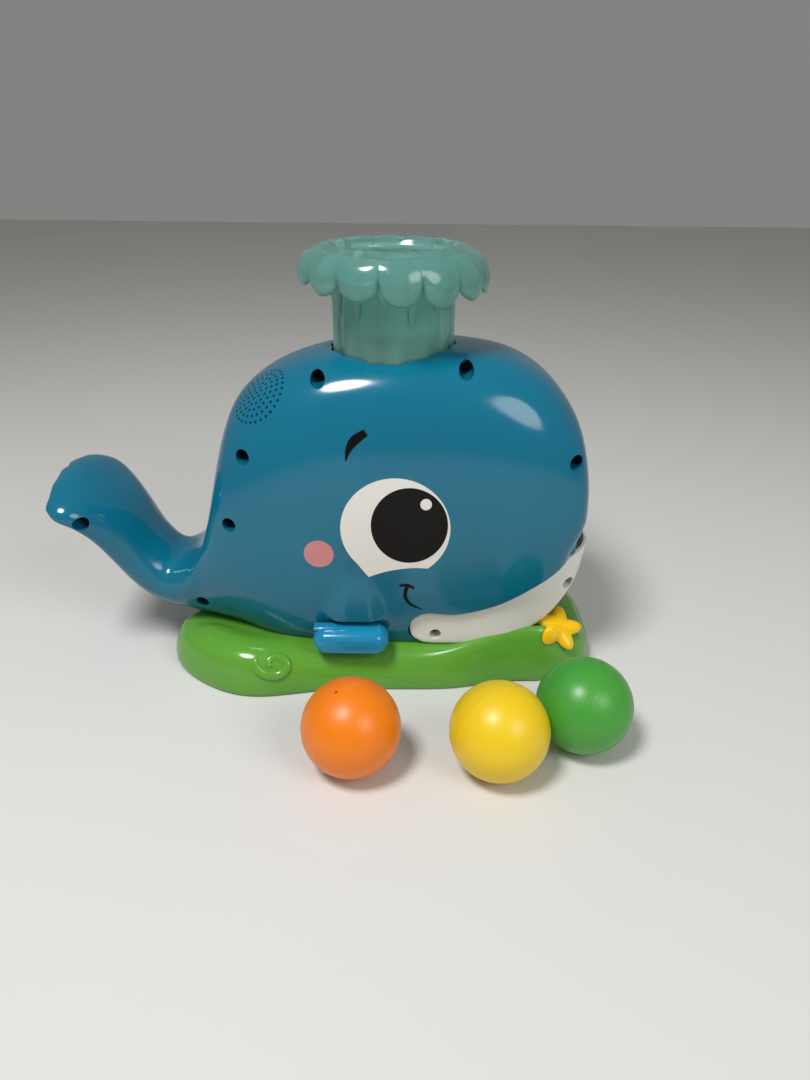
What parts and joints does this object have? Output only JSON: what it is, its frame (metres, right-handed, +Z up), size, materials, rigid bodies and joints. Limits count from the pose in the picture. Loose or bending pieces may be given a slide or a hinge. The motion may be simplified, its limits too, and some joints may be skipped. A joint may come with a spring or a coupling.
{
  "type": "whale ball popper toy",
  "caption": "Whale-shaped battery toy that takes balls in its open mouth and blows them out of a water spout on its back, with a press flipper and loose balls.",
  "frame": {"origin": "on the underside of the base, straight below the axis of the spout", "axes": "+X towards the nose, -Y the flank with the working flipper, +Z up along the spout"},
  "size_m": [0.3149, 0.2137, 0.239],
  "materials": {
    "body_blue": "glossy moulded plastic",
    "flipper_blue": "glossy moulded plastic",
    "spout_teal": "translucent moulded plastic",
    "white_plastic": "glossy moulded plastic",
    "base_green": "glossy moulded plastic",
    "star_yellow": "glossy moulded plastic",
    "grey_plastic": "matt moulded plastic",
    "knob_red": "glossy moulded plastic",
    "steel": "plated steel",
    "cell_wrap": "printed film wrap over a steel can",
    "board_green": "lacquered circuit board",
    "ball_orange": "satin blown plastic",
    "ball_yellow": "satin blown plastic",
    "ball_green": "satin blown plastic"
  },
  "bodies": {
    "toy": {"right_shell": "body_blue", "left_shell": "body_blue", "far_flipper": "flipper_blue", "spout": "spout_teal", "right_jaw": "white_plastic", "left_jaw": "white_plastic", "ball_riser": "white_plastic", "base_shell": "base_green", "starfish": "star_yellow", "base_plate": "grey_plastic", "battery_door": "grey_plastic", "start_switch": "grey_plastic", "blower_housing": "grey_plastic", "blower_cover": "grey_plastic", "speaker": "grey_plastic", "power_switch": "grey_plastic", "body_screw_1": "steel", "body_screw_2": "steel", "body_screw_3": "steel", "body_screw_4": "steel", "body_screw_5": "steel", "body_screw_6": "steel", "body_screw_7": "steel", "jaw_screw_1": "steel", "jaw_screw_2": "steel", "base_screw_1": "steel", "base_screw_2": "steel", "base_screw_3": "steel", "base_screw_4": "steel", "door_screw": "steel", "battery_contact_right": "steel", "battery_contact_left": "steel", "flipper_pin": "steel", "flipper_spring": "steel", "motor": "steel", "battery_1": "cell_wrap", "battery_2": "cell_wrap", "battery_3": "cell_wrap", "battery_4": "cell_wrap", "circuit_board": "board_green"},
    "flipper_body": {"flipper": "flipper_blue"},
    "knob_body": {"power_knob": "knob_red"},
    "fan_body": {"fan": "white_plastic", "motor_shaft": "steel"},
    "orange_ball_body": {"ball_orange": "ball_orange"},
    "yellow_ball_body": {"ball_yellow": "ball_yellow"},
    "green_ball_body": {"ball_green": "ball_green"}
  },
  "joints": [
    {"name": "flipper_press", "type": "hinge", "parent": "toy", "child": "flipper_body", "pos_m": [-0.0225, -0.035, 0.0345], "axis": [1, 0, 0], "range_deg": [0, 6], "stiffness_Nm_per_rad": 0.5, "springref_deg": -2.86, "deforming": ["flipper_spring"]},
    {"name": "power_slide", "type": "slide", "parent": "toy", "child": "knob_body", "axis": [0.1197, 0, 0.9928], "range_m": [0, 0.006]},
    {"name": "fan_spin", "type": "hinge", "parent": "toy", "child": "fan_body", "pos_m": [-0.06, 0, 0.066], "axis": [0, 1, 0], "continuous": true},
    {"name": "orange_ball_lift", "type": "slide", "parent": "toy", "child": "orange_ball_body", "axis": [0, 0, 1], "range_m": [0, 0.25]},
    {"name": "yellow_ball_lift", "type": "slide", "parent": "toy", "child": "yellow_ball_body", "axis": [0, 0, 1], "range_m": [0, 0.25]},
    {"name": "green_ball_lift", "type": "slide", "parent": "toy", "child": "green_ball_body", "axis": [0, 0, 1], "range_m": [0, 0.25]}
  ]
}
